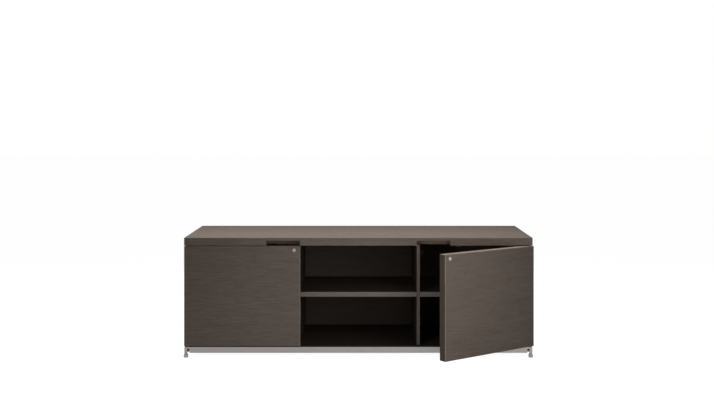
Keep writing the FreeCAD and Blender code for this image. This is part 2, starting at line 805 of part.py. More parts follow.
def make_lock_plug(name, side):
    face = "-sizes.lock_flange_height + sizes.plug_sink"
    barrel, tail = "0.5 * sizes.plug_diameter", "0.5 * sizes.tail_diameter"
    screw = "0.5 * sizes.cam_screw_diameter"
    blind = "places.cam_rear - sizes.cam_screw_length"
    plug = turned_piece(f"{name}_lock_plug", "XY_Plane", [
        ("0", face), (barrel, face), (barrel, "places.cam_front"), (tail, "places.cam_front"),
        (tail, "places.cam_rear"), (screw, "places.cam_rear"), (screw, blind), ("0", blind)])
    keyway = draw(plug, "XZ_Plane", f"-({face})")
    half_width, half_height = "0.5 * sizes.keyway_width", "0.5 * sizes.keyway_height"
    rectangle(keyway, (f"-{half_width}", f"-{half_height}"), (half_width, half_height))
    pocket(plug, keyway, "sizes.keyway_depth")
    place_on_lock(plug, side)


def make_lock_nut(name, side):
    body = start_body(f"{name}_lock_nut")
    ring = draw(body, "XZ_Plane", "-(sizes.door_thickness + sizes.nut_height)")
    hexagon(ring, "sizes.nut_flats")
    circle(ring, ("0", "0"), "sizes.lock_body_diameter")
    pad(body, ring, "sizes.nut_height")
    place_on_lock(body, side)


def make_lock_cam(name, side):
    """A flat arm on the plug's tail. It lies level when unlocked, away from the partition."""
    body = start_body(f"{name}_lock_cam")
    hub = draw(body, "XZ_Plane", "-places.cam_rear")
    circle(hub, ("0", "0"), "2 * sizes.cam_hub_radius")
    pad(body, hub, "sizes.cam_gauge")
    arm = draw(body, "XZ_Plane", "-places.cam_rear")
    rectangle(arm, ("0", "-0.5 * sizes.cam_width"),
              (f"{side} * (sizes.cam_reach - 0.5 * sizes.cam_width)", "0.5 * sizes.cam_width"))
    pad(body, arm, "sizes.cam_gauge")
    tip = draw(body, "XZ_Plane", "-places.cam_rear")
    circle(tip, (f"{side} * (sizes.cam_reach - 0.5 * sizes.cam_width)", "0"), "sizes.cam_width")
    pad(body, tip, "sizes.cam_gauge")
    hole = draw(body, "XZ_Plane", "-places.cam_front")
    circle(hole, ("0", "0"), "sizes.tail_diameter")
    pocket(body, hole, "sizes.cam_gauge")
    place_on_lock(body, side)


def make_cam_screw(name, side):
    shank, head = "0.5 * sizes.cam_screw_diameter", "0.5 * sizes.cam_screw_head_diameter"
    start = "places.cam_rear - sizes.cam_screw_length"
    end = "places.cam_rear + sizes.cam_screw_head_height"
    screw = turned_piece(f"{name}_cam_screw", "XY_Plane", [
        ("0", start), (shank, start), (shank, "places.cam_rear"), (head, "places.cam_rear"),
        (head, end), ("0", end)])
    place_on_lock(screw, side)


def make_striker(name, side):
    """An angle on the partition, whose tab stands in front of the turned-down cam."""
    body = start_body(f"{name}_striker")
    face = f"{side} * places.partition_far"
    plate = f"{face} + {side} * sizes.striker_gauge"
    tab = f"{plate} + {side} * sizes.striker_reach"
    front, tab_rear = "places.striker_front", "places.striker_front + sizes.striker_gauge"
    rear = "places.striker_front + sizes.striker_length"
    angle = draw(body, "XY_Plane", "places.striker_top - sizes.striker_width")
    outline(angle, [(face, front), (tab, front), (tab, tab_rear), (plate, tab_rear),
                    (plate, rear), (face, rear)])
    pad(body, angle, "sizes.striker_width")


def make_catch(name, side):
    """A magnet in its case under the top, and the plate on the door that it holds."""
    centre = f"{side} * places.catch_x"
    case = start_body(f"{name}_catch")
    shell = draw(case, "XY_Plane", "places.top_low - sizes.catch_height")
    rectangle(shell, (f"{centre} - 0.5 * sizes.catch_width", "places.catch_front"),
              (f"{centre} + 0.5 * sizes.catch_width", "places.catch_front + sizes.catch_length"))
    pad(case, shell, "sizes.catch_height")
    poles = draw(case, "XY_Plane", "places.top_low - sizes.catch_height + sizes.pole_height")
    rectangle(poles, (f"{centre} - sizes.pole_width", "places.catch_front - sizes.pole_reach"),
              (f"{centre} + sizes.pole_width", "places.catch_front"))
    pad(case, poles, "sizes.catch_height - sizes.pole_height - sizes.door_head_gap")
    plate = start_body(f"{name}_catch_plate")
    flat = draw(plate, "XZ_Plane", "-places.door_rear - sizes.plate_gauge")
    middle = f"{-side} * places.plate_x"
    level = "places.door_high - sizes.plate_drop"
    rectangle(flat, (f"{middle} - 0.5 * sizes.plate_width", f"{level} - 0.5 * sizes.plate_height"),
              (f"{middle} + 0.5 * sizes.plate_width", f"{level} + 0.5 * sizes.plate_height"))
    pad(plate, flat, "sizes.plate_gauge")
    place_on_pivot(plate, side)


# ---- checks and files -----------------------------------------------------------------

def check_model():
    for thing in doc.Objects:
        if {"Invalid", "Error"} & set(thing.State):
            raise RuntimeError(f"{thing.Label} failed: {thing.State}")
    for node in nodes:
        if node.Shape.isNull() or not node.Shape.isValid() or not node.Shape.Solids:
            raise RuntimeError(f"{node.Label} has no sound solid")


def write_parts():
    os.makedirs("parts", exist_ok=True)
    for node in nodes:
        node.Shape.exportStep(f"parts/{node.Label}.step")
        box = node.Shape.BoundBox
        print(f"{node.Label}: {len(node.Shape.Solids)} solid(s), "
              f"{box.XLength:.1f} x {box.YLength:.1f} x {box.ZLength:.1f} mm")


fill_sheet("sizes", SIZES)
fill_sheet("places", PLACES, "=")
doc.recompute()

shelf_bays = {
    "left": ("-places.side_inner", "-places.partition_far"),
    "middle": ("-places.partition_near", "places.partition_near"),
    "right": ("places.partition_far", "places.side_inner"),
}

make_top_panel()
make_bottom_panel()
make_back_panel()
for name, side in SIDES.items():
    make_side_panel(name, side)
    make_partition(name, side)
for name, bay in shelf_bays.items():
    make_shelf(name, *bay)
    make_shelf_pins(name, *bay)
make_dowels()

make_long_rail("front", "places.rail_front", 1, "places.screw_front")
make_long_rail("rear", "places.rail_rear", -1, "places.screw_rear")
for name, side in SIDES.items():
    make_side_rail(name, side)
    make_bearer(name, side)
    for row, is_rear in (("front", False), ("rear", True)):
        make_leg(f"{row}_{name}", side, is_rear)
        make_foot(f"{row}_{name}", side, is_rear)
make_base_screws()

for name, side in SIDES.items():
    make_door(name, side)
    make_pivots(name, side)
    make_bumpers(name, side)
    make_lock_housing(name, side)
    make_lock_plug(name, side)
    make_lock_nut(name, side)
    make_lock_cam(name, side)
    make_cam_screw(name, side)
    make_striker(name, side)
    make_catch(name, side)

doc.recompute()
check_model()
write_parts()
print(f"{len(nodes)} parts written")
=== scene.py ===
import json
import math

import bmesh
import bpy
from mathutils import Matrix, Vector


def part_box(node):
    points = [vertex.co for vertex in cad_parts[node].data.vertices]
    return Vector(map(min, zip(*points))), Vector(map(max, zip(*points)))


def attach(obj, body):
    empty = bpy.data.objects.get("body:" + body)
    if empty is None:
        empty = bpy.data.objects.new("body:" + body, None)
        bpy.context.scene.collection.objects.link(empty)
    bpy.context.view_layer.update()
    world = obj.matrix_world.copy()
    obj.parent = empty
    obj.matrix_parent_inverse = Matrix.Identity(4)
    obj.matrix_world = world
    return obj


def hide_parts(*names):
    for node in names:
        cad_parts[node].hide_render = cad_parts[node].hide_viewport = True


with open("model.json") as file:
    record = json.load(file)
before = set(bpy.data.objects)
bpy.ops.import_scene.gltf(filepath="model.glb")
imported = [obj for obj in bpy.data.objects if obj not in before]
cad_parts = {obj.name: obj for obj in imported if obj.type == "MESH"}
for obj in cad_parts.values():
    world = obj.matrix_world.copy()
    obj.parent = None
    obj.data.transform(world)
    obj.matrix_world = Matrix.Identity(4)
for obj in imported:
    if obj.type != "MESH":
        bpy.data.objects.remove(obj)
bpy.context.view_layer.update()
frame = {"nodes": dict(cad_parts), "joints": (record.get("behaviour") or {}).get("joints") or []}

nodes = frame["nodes"]


def mm(value):
    return value / 1000.0


def linearColour(hexValue, paintedLightLevel=1.0):
    channels = [int(hexValue[i:i + 2], 16) / 255.0 for i in (1, 3, 5)]
    linear = [c / 12.92 if c <= 0.04045 else ((c + 0.055) / 1.055) ** 2.4 for c in channels]
    return (*[min(c * paintedLightLevel, 1.0) for c in linear], 1.0)


def addNode(tree, kind, inputs=None, **settings):
    node = tree.nodes.new(kind)
    for name, value in settings.items():
        setattr(node, name, value)
    for socket, value in (inputs or {}).items():
        if isinstance(value, bpy.types.NodeSocket):
            tree.links.new(value, node.inputs[socket])
        else:
            node.inputs[socket].default_value = value
    return node


def newMaterial(name, **fixed):
    material = bpy.data.materials.new(name)
    material.use_nodes = True
    tree = material.node_tree
    shader = tree.nodes["Principled BSDF"]
    for socket, value in fixed.items():
        shader.inputs[socket.replace("_", " ")].default_value = value
    return material, tree, shader


def dress(node, material):
    mesh = nodes[node].data
    mesh.materials.clear()
    mesh.materials.append(material)


facesAxis = 0.7            # from this share of its normal on, a face counts as facing an axis
fractalRoughness = 0.6     # of the grain's and the scratches' noise


# Camera: level, with the view moved down by the lens shift, so uprights stay upright.
cameraView = {
    "place": (0.010, -5.458, 1.2217),
    "lensMm": 50.37,
    "sensorMm": 36.0,
    "shiftX": -0.0046,
    "shiftY": -0.1242,
}
cameraData = bpy.data.cameras.new("credenzaCamera")
cameraData.lens = cameraView["lensMm"]
cameraData.sensor_width = cameraView["sensorMm"]
cameraData.shift_x = cameraView["shiftX"]
cameraData.shift_y = cameraView["shiftY"]
camera = bpy.data.objects.new("credenzaCamera", cameraData)
camera.location = cameraView["place"]
camera.rotation_euler = (math.radians(90), 0, 0)
bpy.context.scene.collection.objects.link(camera)
bpy.context.scene.camera = camera
print("camera placed")


# Dark grey-brown stained oak veneer under an open-pore matt lacquer. It gives the eye fine
# level grain lines, short dark pores and slow bands where one part took more stain.
veneer = {
    "light": "#5d544d",
    "dark": "#4e4741",
    "pore": "#332d29",
    "bandMm": (420, 22),
    "fibreMm": (80, 3.0),      # real oak fibres are finer, drawn as coarse as they need to show
    "poreMm": (20, 0.9),
    "waveMm": 420,
    "waveDepthMm": 9,
    "bandShare": 0.22,
    "poreDepth": 0.45,
    "toneLimits": (0.34, 0.66),
    "poreLimits": (0.60, 0.70),
    "roughness": 0.60,
    "roughnessLimits": (0.3, 0.7),
    "roughnessSpread": (0.06, -0.04),
    "specular": 0.001,
    "bumpMm": 0.12,
    "bumpStrength": 0.5,
    "detail": {"wave": 1.0, "band": 2.0, "fibre": 3.0, "pore": 1.0},
    "bayShadeShare": 0.74,       # how far the shaded faces are darkened towards the colour below, as painted shade
    # painted shade inside the bays and in the gap under the doors
    "bayShade": "#1d1713",
    "paleEdgeAndHighlight": "#7d7167",        # painted highlight on the rounded edges, and the colour of the doors' pale edges
    "arrisLimits": (0.99, 0.90),
    "lipMm": 3.0,              # the doors' edge bands, seen from the face as a paler line, partly their own tone and partly a painted highlight
    "lipShare": 0.6,
    "capHighlightShare": 0.9,           # painted highlight: their top and bottom edges are painted paler still
}
swing = next(joint for joint in frame["joints"] if joint["name"] == "right_door_swing")
restAngle = -swing["range_deg"][0]     # the right door stands open by this much at rest
# turn: degrees from the length to the board's grain. ends: the way the grain runs on the
# edges that close it, 2 for upright and 1 for level. drift keeps two boards from matching.
# shadedFaces: the faces painted with shade, each as an axis and the way it faces: those that
# look into a bay, and on the bottom board its front edge in the gap under the doors.
# paintedLightLevel: painted light and shade, a brightness per board that makes the top, the
# shelves, the back and the left door lighter and the bottom darker, as the light falls on them.
# paintedEdgeShade: painted shade on the doors' upright edges. arrisHighlight: how far its
# rounded edges are painted paler, as a painted highlight. lipped: the bands on its two upright
# edges show as a paler line on the face, partly their own tone and partly a painted highlight,
# and its top and bottom edges are painted paler as a highlight.
aboveAndBelow = ((2, 1), (2, -1))
boards = {
    "top_panel": {"turn": 0, "ends": 1, "drift": (0.0, 0.0, 0.0), "paintedLightLevel": 1.1,
                  "arrisHighlight": 0.3},
    # Painted shade: its top face and its front edge, in the gap under the doors, are darkened.
    "bottom_panel": {"turn": 0, "ends": 1, "drift": (3.1, 1.3, 0.4),
                     "shadedFaces": ((2, 1), (1, -1)), "paintedLightLevel": 0.75, "arrisHighlight": 0.0},
    "back_panel": {"turn": 0, "ends": 2, "drift": (1.7, 2.2, 5.1), "shadedFaces": ((1, -1),),
                   "paintedLightLevel": 1.7},
    "left_side_panel": {"turn": 90, "ends": 2, "drift": (7.3, 0.6, 2.9), "shadedFaces": ((1, -1),)},
    "right_side_panel": {"turn": 90, "ends": 2, "drift": (4.4, 6.2, 1.8), "shadedFaces": ((1, 1),)},
    "left_partition": {"turn": 90, "ends": 2, "drift": (9.1, 3.7, 0.2),
                       "shadedFaces": ((1, 1), (1, -1))},
    "right_partition": {"turn": 90, "ends": 2, "drift": (2.6, 8.8, 6.4),
                        "shadedFaces": ((1, 1), (1, -1))},
    "left_shelf": {"turn": 0, "ends": 1, "drift": (5.9, 5.5, 3.3), "shadedFaces": aboveAndBelow,
                   "paintedLightLevel": 1.3},
    "middle_shelf": {"turn": 0, "ends": 1, "drift": (6.6, 0.9, 7.7), "shadedFaces": aboveAndBelow,
                     "paintedLightLevel": 1.3},
    "right_shelf": {"turn": 0, "ends": 1, "drift": (8.2, 4.8, 2.1), "shadedFaces": aboveAndBelow,
                    "paintedLightLevel": 1.3},
    "left_door": {"turn": 0, "ends": 2, "drift": (0.7, 7.1, 4.6), "paintedLightLevel": 1.06,
                  "paintedEdgeShade": 0.6, "arrisHighlight": 0.1, "lipped": True},
    "right_door": {"turn": restAngle, "ends": 2, "drift": (3.8, 2.5, 8.9),
                   "paintedEdgeShade": 0.5, "arrisHighlight": 0.9, "lipped": True},
}


# A board's own directions: the place from its middle and the way its surface faces, both
# turned so that the first axis runs along the grain.
def boardDirections(tree, board, turn):
    low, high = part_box(board)
    spot = addNode(tree, "ShaderNodeTexCoord")
    fromCentre = addNode(tree, "ShaderNodeVectorMath", {
        0: spot.outputs["Object"], 1: (low + high) / 2}, operation="SUBTRACT")
    return [addNode(tree, "ShaderNodeVectorRotate", {
        "Vector": vector, "Angle": math.radians(turn)},
        rotation_type="Z_AXIS", invert=True).outputs[0]
        for vector in (fromCentre.outputs[0], spot.outputs["Normal"])]


# Edge banding: its grain runs along the edge, not out of the board's end. Then the whole
# pattern is moved on and bent into slow waves.
def grainPlace(tree, along, isEnd, ends, drift):
    place = addNode(tree, "ShaderNodeSeparateXYZ", {0: along})
    banding = addNode(tree, "ShaderNodeCombineXYZ", {
        0: place.outputs[ends], 1: place.outputs[3 - ends], 2: place.outputs[0]})
    grain = addNode(tree, "ShaderNodeMix", {0: isEnd, 4: along, 5: banding.outputs[0]},
                    data_type="VECTOR")
    shifted = addNode(tree, "ShaderNodeVectorMath", {0: grain.outputs[1], 1: drift},
                      operation="ADD")
    wave = addNode(tree, "ShaderNodeTexNoise", {
        "Vector": shifted.outputs[0], "Scale": 1 / mm(veneer["waveMm"]),
        "Detail": veneer["detail"]["wave"]})
    lift = addNode(tree, "ShaderNodeMath", {0: wave.outputs[0], 1: mm(veneer["waveDepthMm"])},
                   operation="MULTIPLY")
    waveVector = addNode(tree, "ShaderNodeCombineXYZ", {1: lift.outputs[0], 2: lift.outputs[0]})
    return addNode(tree, "ShaderNodeVectorMath", {
        0: shifted.outputs[0], 1: waveVector.outputs[0]}, operation="ADD").outputs[0]


def streaks(tree, grain, kind):
    length, width = veneer[kind + "Mm"]
    scaled = addNode(tree, "ShaderNodeVectorMath", {
        0: grain, 1: (1 / mm(length), 1 / mm(width), 1 / mm(width))}, operation="MULTIPLY")
    return addNode(tree, "ShaderNodeTexNoise", {
        "Vector": scaled.outputs[0], "Scale": 1.0, "Detail": veneer["detail"][kind],
        "Roughness": fractalRoughness}).outputs[0]


# Painted shade: the listed faces are mixed towards the dark bayShade colour, as the shade inside
# the bays and under the doors.
def bayShadeShare(tree, facing, shadedFaces):
    side = addNode(tree, "ShaderNodeSeparateXYZ", {0: facing})
    mask = 0.0
    for axis, way in shadedFaces:
        toward = addNode(tree, "ShaderNodeMath", {0: side.outputs[axis], 1: way},
                         operation="MULTIPLY")
        looksIn = addNode(tree, "ShaderNodeMath", {0: toward.outputs[0], 1: facesAxis},
                          operation="GREATER_THAN")
        mask = addNode(tree, "ShaderNodeMath", {0: mask, 1: looksIn.outputs[0]},
                       operation="MAXIMUM").outputs[0]
    return addNode(tree, "ShaderNodeMath", {0: mask, 1: veneer["bayShadeShare"]},
                   operation="MULTIPLY").outputs[0]


# The doors' pale edges: a paler line along both upright edges of a face, partly the bands' own
# tone and partly a painted highlight, and the top and bottom edges, painted paler as a highlight.
def paleLineAndCapHighlightShare(tree, along, steep):
    closedLow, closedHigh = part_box("left_door")     # unturned, so it gives both doors' size
    place = addNode(tree, "ShaderNodeSeparateXYZ", {0: along})
    fromMiddle = addNode(tree, "ShaderNodeMath", {0: place.outputs[0]}, operation="ABSOLUTE")
    atEdge = addNode(tree, "ShaderNodeMath", {
        0: fromMiddle.outputs[0], 1: (closedHigh[0] - closedLow[0]) / 2 - mm(veneer["lipMm"])},
        operation="GREATER_THAN")
    isFace, isCap = [addNode(tree, "ShaderNodeMath", {0: steep.outputs[axis], 1: facesAxis},
                             operation="GREATER_THAN") for axis in (1, 2)]
    onFace = addNode(tree, "ShaderNodeMath", {0: atEdge.outputs[0], 1: isFace.outputs[0]},
                     operation="MULTIPLY")
    lip = addNode(tree, "ShaderNodeMath", {0: onFace.outputs[0], 1: veneer["lipShare"]},
                  operation="MULTIPLY")
    # painted highlight on the top and bottom edges
    cap = addNode(tree, "ShaderNodeMath", {0: isCap.outputs[0], 1: veneer["capHighlightShare"]},
                  operation="MULTIPLY")
    return addNode(tree, "ShaderNodeMath", {0: lip.outputs[0], 1: cap.outputs[0]},
                   operation="MAXIMUM").outputs[0]


# Painted highlight: rounded edges, whose normals lean off every axis, go towards the paler colour.
def arrisHighlightShare(tree, steep, arrisHighlight):
    level = addNode(tree, "ShaderNodeMath", {0: steep.outputs[0], 1: steep.outputs[1]},
                    operation="MAXIMUM")
    squareness = addNode(tree, "ShaderNodeMath", {0: level.outputs[0], 1: steep.outputs[2]},
                         operation="MAXIMUM")
    return addNode(tree, "ShaderNodeMapRange", {
        "Value": squareness.outputs[0], "From Min": veneer["arrisLimits"][0],
        "From Max": veneer["arrisLimits"][1], "To Max": arrisHighlight}).outputs[0]


def stainedOakVeneer(board, turn, ends, drift, shadedFaces=(), paintedLightLevel=1.0, paintedEdgeShade=1.0,
                     arrisHighlight=0.4, lipped=False):
    material, tree, shader = newMaterial("stainedOakVeneer_" + board)
    shader.inputs["Specular IOR Level"].default_value = veneer["specular"]
    along, facing = boardDirections(tree, board, turn)
    absolute = addNode(tree, "ShaderNodeVectorMath", {0: facing}, operation="ABSOLUTE")
    steep = addNode(tree, "ShaderNodeSeparateXYZ", {0: absolute.outputs[0]})
    isEnd = addNode(tree, "ShaderNodeMath", {0: steep.outputs[0], 1: facesAxis},
                    operation="GREATER_THAN").outputs[0]
    grain = grainPlace(tree, along, isEnd, ends, drift)
    band, fibre, pore = [streaks(tree, grain, kind) for kind in ("band", "fibre", "pore")]
    tone = addNode(tree, "ShaderNodeMix", {
        0: veneer["bandShare"], 2: fibre, 3: band}, data_type="FLOAT")
    spread = addNode(tree, "ShaderNodeMapRange", {
        "Value": tone.outputs[0], "From Min": veneer["toneLimits"][0],
        "From Max": veneer["toneLimits"][1]})
    # Painted light and shade: both grain colours are scaled by the board's paintedLightLevel.
    colour = addNode(tree, "ShaderNodeMix", {
        0: spread.outputs[0], 6: linearColour(veneer["dark"], paintedLightLevel),
        7: linearColour(veneer["light"], paintedLightLevel)}, data_type="RGBA")
    poreMask = addNode(tree, "ShaderNodeMapRange", {
        "Value": pore, "From Min": veneer["poreLimits"][0],
        "From Max": veneer["poreLimits"][1], "To Max": veneer["poreDepth"]})
    colour = addNode(tree, "ShaderNodeMix", {
        0: poreMask.outputs[0], 6: colour.outputs[2],
        7: linearColour(veneer["pore"])}, data_type="RGBA")
    # Painted shade: the board's end edges are darkened by paintedEdgeShade.
    if paintedEdgeShade != 1.0:
        edgeShadeTint = addNode(tree, "ShaderNodeMix", {
            0: isEnd, 6: (1, 1, 1, 1), 7: (paintedEdgeShade,) * 3 + (1,)}, data_type="RGBA")
        colour = addNode(tree, "ShaderNodeMix", {
            0: 1.0, 6: colour.outputs[2], 7: edgeShadeTint.outputs[2]}, data_type="RGBA",
            blend_type="MULTIPLY")
    # Painted shade, the doors' pale lines and painted highlights, mixed over the grain in turn.
    colourOverlays = []
    if shadedFaces:
        colourOverlays.append((bayShadeShare(tree, facing, shadedFaces), "bayShade"))
    if lipped:
        colourOverlays.append((paleLineAndCapHighlightShare(tree, along, steep), "paleEdgeAndHighlight"))
    colourOverlays.append((arrisHighlightShare(tree, steep, arrisHighlight), "paleEdgeAndHighlight"))
    for share, towards in colourOverlays:
        colour = addNode(tree, "ShaderNodeMix", {
            0: share, 6: colour.outputs[2], 7: linearColour(veneer[towards])},
            data_type="RGBA")
    tree.links.new(colour.outputs[2], shader.inputs["Base Color"])
    gloss = addNode(tree, "ShaderNodeMapRange", {
        "Value": fibre, "From Min": veneer["roughnessLimits"][0],
        "From Max": veneer["roughnessLimits"][1],
        "To Min": veneer["roughness"] + veneer["roughnessSpread"][0],
        "To Max": veneer["roughness"] + veneer["roughnessSpread"][1]})
    tree.links.new(gloss.outputs[0], shader.inputs["Roughness"])
    height = addNode(tree, "ShaderNodeMath", {0: fibre, 1: poreMask.outputs[0]},
                     operation="SUBTRACT")
    bump = addNode(tree, "ShaderNodeBump", {
        "Strength": veneer["bumpStrength"], "Distance": mm(veneer["bumpMm"]),
        "Height": height.outputs[0]})
    tree.links.new(bump.outputs[0], shader.inputs["Normal"])
    return material


for board, settings in boards.items():
    dress(board, stainedOakVeneer(board, **settings))
print("boards veneered:", len(boards))


# Satin stainless steel, ground along its length: fine level scratches and a soft sheen.
groundSteel = {
    "colour": "#94908f",
    "scratchMm": (60, 0.9),    # real scratches are finer, drawn as coarse as they need to show
    "roughness": 0.34,
    "roughnessSpread": 0.10,
    "toneSpread": 0.10,
    "bumpMm": 0.02,
}
# Zinc-plated steel fittings: duller and slightly blue, with faint clouds in the plating.
zincSteel = {
    "colour": "#a3a5a6",
    "scratchMm": (6, 6),
    "roughness": 0.38,
    "roughnessSpread": 0.12,
    "toneSpread": 0.12,
    "bumpMm": 0.01,
}
# Plain steel of the catches' poles, left oiled and dark.
oiledSteel = {
    "colour": "#54514e",
    "scratchMm": (8, 1.5),
    "roughness": 0.5,
    "roughnessSpread": 0.1,
    "toneSpread": 0.15,
    "bumpMm": 0.01,
}
# Satin nickel on turned brass: fine lathe rings are gone, only a soft bright face is left.
satinNickel = {
    "colour": "#98928b",
    "scratchMm": (3, 3),
    "roughness": 0.24,
    "roughnessSpread": 0.06,
    "toneSpread": 0.06,
    "bumpMm": 0.005,
}
# Turned brass of the bushes: warm, a little dull where it was cut.
turnedBrass = {
    "colour": "#b08d4f",
    "scratchMm": (2, 2),
    "roughness": 0.32,
    "roughnessSpread": 0.08,
    "toneSpread": 0.08,
    "bumpMm": 0.005,
}

scratchLimits = (0.35, 0.65)
scratchBump = 0.4


def metal(name, finish, turn=0):
    material, tree, shader = newMaterial(name, Metallic=1.0)
    length, width = finish["scratchMm"]
    spot = addNode(tree, "ShaderNodeTexCoord")
    along = addNode(tree, "ShaderNodeVectorRotate",
                    {"Vector": spot.outputs["Object"], "Angle": math.radians(turn)},
                    rotation_type="Z_AXIS", invert=True)
    scaled = addNode(tree, "ShaderNodeVectorMath", {
        0: along.outputs[0], 1: (1 / mm(length), 1 / mm(width), 1 / mm(width))},
        operation="MULTIPLY")
    scratches = addNode(tree, "ShaderNodeTexNoise", {
        "Vector": scaled.outputs[0], "Scale": 1.0, "Detail": 3.0,
        "Roughness": fractalRoughness})
    base = linearColour(finish["colour"])
    duller = tuple(c * (1 - finish["toneSpread"]) for c in base[:3]) + (1.0,)
    brighter = tuple(min(c * (1 + finish["toneSpread"]), 1.0) for c in base[:3]) + (1.0,)
    spread = addNode(tree, "ShaderNodeMapRange", {
        "Value": scratches.outputs[0], "From Min": scratchLimits[0],
        "From Max": scratchLimits[1]})
    colour = addNode(tree, "ShaderNodeMix", {0: spread.outputs[0], 6: duller, 7: brighter},
                     data_type="RGBA")
    tree.links.new(colour.outputs[2], shader.inputs["Base Color"])
    half = finish["roughnessSpread"] / 2
    gloss = addNode(tree, "ShaderNodeMapRange", {
        "Value": scratches.outputs[0], "From Min": scratchLimits[0],
        "From Max": scratchLimits[1], "To Min": finish["roughness"] + half,
        "To Max": finish["roughness"] - half})
    tree.links.new(gloss.outputs[0], shader.inputs["Roughness"])
    bump = addNode(tree, "ShaderNodeBump", {
        "Strength": scratchBump, "Distance": mm(finish["bumpMm"]),
        "Height": scratches.outputs[0]})
    tree.links.new(bump.outputs[0], shader.inputs["Normal"])
    return material


# Moulded plastics, rubber and plain wood of the small parts.
softFinishes = {
    "blackNylon": {"colour": "#1f1e1d", "other": "#262524", "spotMm": 1.2, "roughness": 0.5,
                   "specular": 0.4},
    "mouldedCase": {"colour": "#0e0e0e", "other": "#141313", "spotMm": 0.8, "roughness": 0.65,
                    "specular": 0.2},
    "clearBumper": {"colour": "#6f6a63", "other": "#7d776f", "spotMm": 4.0, "roughness": 0.3,
                    "specular": 0.5},
    "plainBeech": {"colour": "#c39e72", "other": "#a9845a", "spotMm": 2.0, "roughness": 0.6,
                   "specular": 0.3},
    "blackPowderCoat": {"colour": "#0b0a0a", "other": "#111010", "spotMm": 0.5,
                        "roughness": 0.8, "specular": 0.1},
}
softBump = {"strength": 0.2, "depthMm": 0.05}


def softMaterial(name):
    finish = softFinishes[name]
    material, tree, shader = newMaterial(
        name, Roughness=finish["roughness"], Specular_IOR_Level=finish["specular"])
    spot = addNode(tree, "ShaderNodeTexCoord")
    spots = addNode(tree, "ShaderNodeTexNoise", {
        "Vector": spot.outputs["Object"], "Scale": 1 / mm(finish["spotMm"]), "Detail": 2.0})
    colour = addNode(tree, "ShaderNodeMix", {
        0: spots.outputs[0], 6: linearColour(finish["colour"]),
        7: linearColour(finish["other"])}, data_type="RGBA")
    tree.links.new(colour.outputs[2], shader.inputs["Base Color"])
    bump = addNode(tree, "ShaderNodeBump", {
        "Strength": softBump["strength"], "Distance": mm(softBump["depthMm"]),
        "Height": spots.outputs[0]})
    tree.links.new(bump.outputs[0], shader.inputs["Normal"])
    return material


steelAlongX = metal("groundSteelLong", groundSteel)
steelAlongY = metal("groundSteelShort", groundSteel, turn=90)
zinc = metal("zincPlatedSteel", zincSteel)
poleSteel = metal("oiledPoleSteel", oiledSteel)
nickel = metal("satinNickel", satinNickel)
brass = metal("turnedBrass", turnedBrass)
nylon, casePlastic, bumperClear, beech, blackCoat = [softMaterial(name) for name in softFinishes]

for node in nodes:
    if node in boards:
        continue
    if node in ("front_rail", "rear_rail") or node.endswith(("_leg", "_foot")):
        dress(node, steelAlongX)
    elif node.endswith(("_side_rail", "_bearer")):
        dress(node, steelAlongY)
    elif node.endswith(("_lock_housing", "_lock_plug")):
        dress(node, nickel)
    elif node.endswith("_bush"):
        dress(node, brass)
    elif node.endswith("_washer"):
        dress(node, nylon)
    elif node.endswith("_striker"):
        dress(node, blackCoat)
    elif node.endswith("_catch"):
        dress(node, casePlastic)
    elif node.endswith("_bumpers"):
        dress(node, bumperClear)
    elif node.endswith("_dowels"):
        dress(node, beech)
    else:
        dress(node, zinc)
print("fittings and base finished")


# Small fittings. A place on the closed right door is mirrored for the left door, or turned
# about the pivots with the right one, which stands open at rest.
pivot = Vector(swing["pos_m"])
opened = Matrix.Rotation(math.radians(restAngle), 3, "Z")


def atDoor(side, spot, way):
    if side == "left":
        return Vector((-spot[0], spot[1], spot[2])), Vector((-way[0], way[1], way[2]))
    return opened @ (Vector(spot) - pivot) + pivot, opened @ Vector(way)


def startTree(name, sizes):
    tree = bpy.data.node_groups.new(name, "GeometryNodeTree")
    sockets = tree.interface
    sockets.new_socket("Geometry", in_out="OUTPUT", socket_type="NodeSocketGeometry")
    sockets.new_socket("Places", in_out="INPUT", socket_type="NodeSocketGeometry")
    for size in sizes:
        sockets.new_socket(size, in_out="INPUT", socket_type="NodeSocketFloat")
    sockets.new_socket("Finish", in_out="INPUT", socket_type="NodeSocketMaterial")
    return tree, addNode(tree, "NodeGroupInput").outputs


def endTree(tree, given, instances):
    real = addNode(tree, "GeometryNodeRealizeInstances", {0: instances})
    finished = addNode(tree, "GeometryNodeSetMaterial", {
        "Geometry": real.outputs[0], "Material": given["Finish"]})
    addNode(tree, "NodeGroupOutput", {0: finished.outputs[0]})
    return tree


def facingTurn(tree):
    facing = addNode(tree, "GeometryNodeInputNamedAttribute", {"Name": "facing"},
                     data_type="FLOAT_VECTOR")
    return addNode(tree, "FunctionNodeAlignRotationToVector", {
        "Vector": facing.outputs[0]}, axis="Z").outputs[0]


def roundDisc(tree, sides, width, height, part):
    radius = addNode(tree, "ShaderNodeMath", {0: width, 1: 0.5}, operation="MULTIPLY")
    depth = addNode(tree, "ShaderNodeMath", {0: height, 1: part}, operation="MULTIPLY")
    return addNode(tree, "GeometryNodeMeshCylinder", {
        "Vertices": sides, "Radius": radius.outputs[0], "Depth": depth.outputs[0]}).outputs


# Raises a face by a part of a height and draws it in to a share of its width.
def stepUp(tree, mesh, face, height, part, share):
    rise = addNode(tree, "ShaderNodeMath", {0: height, 1: part}, operation="MULTIPLY")
    raised = addNode(tree, "GeometryNodeExtrudeMesh", {
        "Mesh": mesh, "Selection": face, "Offset Scale": rise.outputs[0]})
    drawnIn = addNode(tree, "GeometryNodeScaleElements", {
        "Geometry": raised.outputs["Mesh"], "Selection": raised.outputs["Top"],
        "Scale": share})
    return drawnIn.outputs[0], raised.outputs["Top"]


